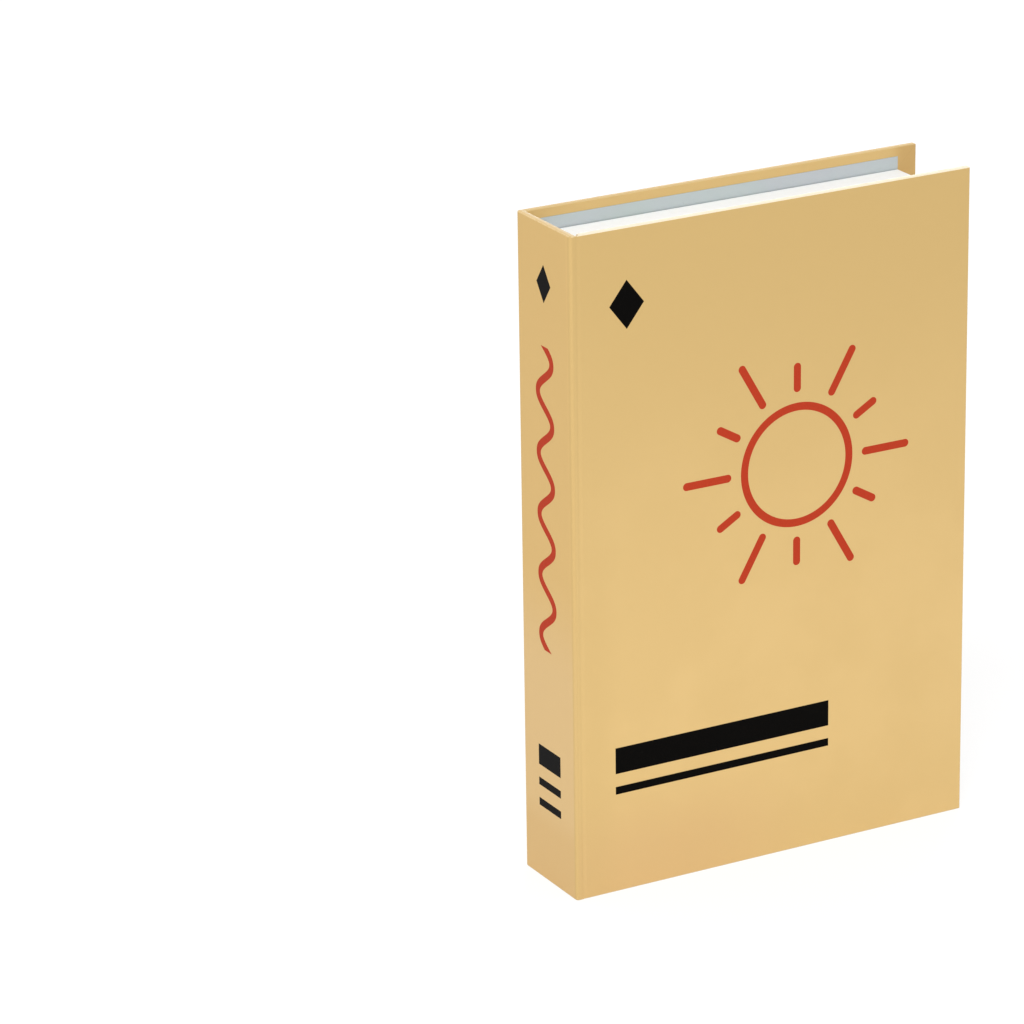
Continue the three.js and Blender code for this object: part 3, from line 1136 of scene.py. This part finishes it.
def pagePaint(finish):
    paint = Paint("page_edge_paper", {"IOR": 1.45})
    place = paint.place()
    x, y, z = paint.split(place)
    low, high = cadBox("tray_page_wrap")
    fromSides = (x - low.x).math("MINIMUM", high.x - x)
    fromEnds = (z - low.z).math("MINIMUM", high.z - z)
    outside = paint.ramp(fromSides.math("MINIMUM", fromEnds), *finish["outsideReach"])
    along = finish["leafShare"]
    sheets = paint.add("ShaderNodeCombineXYZ", {}, {"X": x * along, "Y": y, "Z": z * along})
    bands = paint.noise(sheets, *finish["bandNoise"])
    leaves = paint.noise(sheets, *finish["leafNoise"])
    mottle = paint.noise(place, *finish["mottleNoise"])
    fibre = paint.noise(place, *finish["fibreNoise"])
    mottled = paint.ramp(mottle, 0.4, 0.7) * finish["mottleShare"]
    white = paint.blend(mottled, finish["white"], finish["cream"])
    white = paint.blend(outside, finish["inner"], white)
    foreShare, plainShare = finish["bandShares"]
    strength = outside * ((x > high.x - 0.3) * foreShare + plainShare)
    # painted shade along the block's edges, deeper towards the back
    corner = paint.ramp(fromSides + fromEnds, *finish["cornerReach"]) * paint.ramp(y, 0.0, high.y)
    # painted shadow along the block's back edge, where it meets the lining
    lineFrom, lineTo = [high.y - reach for reach in finish["glueLine"]]
    glueLine = paint.ramp(y, lineFrom, lineTo) * outside
    colour = paint.layered(
        white,
        (paint.ramp(bands, 0.4, 0.62) * strength, finish["cream"]),
        (paint.ramp(leaves, 0.55, 0.75) * strength * finish["leafStrength"], finish["shade"]),
        (corner * finish["cornerShare"], finish["edgeShade"]),
        (glueLine * finish["backEdgeShadowShare"], finish["contactShade"]),
    )
    roughness = fibre * 0.1 + finish["roughness"]
    height = fibre * 0.4 + leaves * outside * 0.8
    return paint.finish(colour, roughness, height, finish["grainDepth"])


stickerFinish = {
    "white": tint(244, 244, 243),
    "offWhite": tint(236, 236, 234),
    "bar": tint(22, 21, 22),
    "roughness": 0.42,
    "barPitch": 1.03,
    "barsAcross": (-14.2, 13.2),
    "barsUp": (17.8, 26.6),
    "ruleUp": (15.6, 16.6),
    "barShares": (0.22, 0.5),
    "seedStep": 0.731,
    "fibreNoise": (2.5, 3.0, 0.6),
    "grainDepth": 0.012,
}


def stickerPaint(finish):
    paint = Paint("sticker_paper", {"Coat Weight": 0.25, "Coat Roughness": 0.3})
    place = paint.place()
    x, y, z = paint.split(place)
    fibre = paint.noise(place, *finish["fibreNoise"])
    column = (x / finish["barPitch"]).math("FLOOR")
    seed = column * finish["seedStep"]
    chance = paint.add("ShaderNodeTexWhiteNoise", {"noise_dimensions": "1D"}, {"W": seed})
    least, more = finish["barShares"]
    inBar = (x / finish["barPitch"]) % 1.0 < chance * more + least
    barMask = inBar * between(x, *finish["barsAcross"]) * between(z, *finish["barsUp"])
    ruleMask = between(x, *finish["barsAcross"]) * between(z, *finish["ruleUp"])
    colour = paint.layered(
        finish["white"],
        (fibre * 0.3, finish["offWhite"]),
        (barMask.math("MAXIMUM", ruleMask), finish["bar"]),
    )
    roughness = fibre * 0.1 + finish["roughness"]
    return paint.finish(colour, roughness, fibre, finish["grainDepth"])


# Greyboard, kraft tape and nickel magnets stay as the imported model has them

boardFinish = {
    "grey": tint(156, 150, 141),
    "dark": tint(128, 121, 112),
    "light": tint(188, 183, 174),
    "roughness": 0.9,
    "grainDepth": 0.08,
}
tapeFinish = {
    "kraft": tint(190, 154, 108),
    "deep": tint(168, 131, 86),
    "roughness": 0.72,
    "grainDepth": 0.03,
}
magnetFinish = {
    "nickel": tint(196, 193, 186),
    "dull": tint(160, 156, 150),
    "roughness": 0.26,
    "grainDepth": 0.004,
}


def boardPaint(finish):
    paint = Paint("greyboard_fibre", {})
    place = paint.place()
    pulp = paint.noise(place, 0.5, 5.0, 0.7)
    flecks = paint.noise(paint.stretched(place, (2.5, 0.6, 1.0)), 1.7, 3.0, 0.7)
    colour = paint.layered(
        finish["grey"],
        (paint.ramp(pulp, 0.35, 0.65), finish["dark"]),
        (paint.ramp(flecks, 0.6, 0.7) * 0.6, finish["light"]),
    )
    return paint.finish(colour, pulp * 0.08 + finish["roughness"], pulp + flecks, finish["grainDepth"])


def tapePaint(finish):
    paint = Paint("kraft_tape", {})
    place = paint.place()
    ribs = paint.noise(paint.stretched(place, (1.0, 8.0, 1.0)), 1.5, 3.0, 0.6)
    pulp = paint.noise(place, 0.8, 4.0, 0.6)
    colour = paint.blend(paint.ramp(ribs + pulp, 0.8, 1.2), finish["kraft"], finish["deep"])
    return paint.finish(colour, pulp * 0.12 + finish["roughness"], ribs, finish["grainDepth"])


def magnetPaint(finish):
    paint = Paint("nickel_plate", {"Metallic": 1.0})
    place = paint.place()
    brushed = paint.noise(paint.stretched(place, (1.0, 1.0, 12.0)), 2.5, 4.0, 0.6)
    stain = paint.noise(place, 0.3, 3.0)
    colour = paint.blend(paint.ramp(stain, 0.5, 0.75), finish["nickel"], finish["dull"])
    return paint.finish(colour, brushed * 0.2 + finish["roughness"], brushed, finish["grainDepth"])


casePaint = casePaperPaint(caseFinish, caseShading, printLayout)
liningSheetPaint = liningPaint("blue_grey_lining_paper", liningFinish, "restPlace")
trayFloorPaint = liningPaint("blue_grey_floor_paper", liningFinish)
pageEdgePaint = pagePaint(pageFinish)
stickerFace = stickerPaint(stickerFinish)
print("papers mixed")

pageBlock = makePageSkin(pageSkin, pageEdgePaint)
trayFloor = flatSheet("tray_floor_sheet", "tray_floor_lining", floorSheet, -1)
sticker = flatSheet("back_sticker_label", "back_sticker", stickerSheet, 1)
print("page skin, floor sheet and sticker made")


# What each piece is made of, stands for and moves with

bending = {
    frontCase: (casePaint, "case_paper", "front_case_wrap"),
    frontLining: (liningSheetPaint, "lining_paper", "front_lining"),
}
riding = {
    rearCase: (casePaint, "case_paper", "rear_case_wrap"),
    rearLining: (liningSheetPaint, "lining_paper", "rear_lining"),
    pageBlock: (pageEdgePaint, "page_paper", "tray_page_wrap"),
    trayFloor: (trayFloorPaint, "lining_paper", "tray_floor_lining"),
    sticker: (stickerFace, "sticker_paper", "back_sticker"),
}
for piece, (material, slotName, node) in {**bending, **riding}.items():
    dress(piece, material)
    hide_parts(node)
for piece in bending:
    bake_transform(piece)
for piece in riding:
    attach(piece, "tray_case")

greyboard = boardPaint(boardFinish)
plainPaints = {
    "board": greyboard,
    "wall": greyboard,
    "tape": tapePaint(tapeFinish),
    "magnet": magnetPaint(magnetFinish),
}
for name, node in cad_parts.items():
    for word, material in plainPaints.items():
        if word in name.split("_"):
            node.data.materials.clear()
            node.data.materials.append(material)
print("pieces dressed:", len(bending) + len(riding))
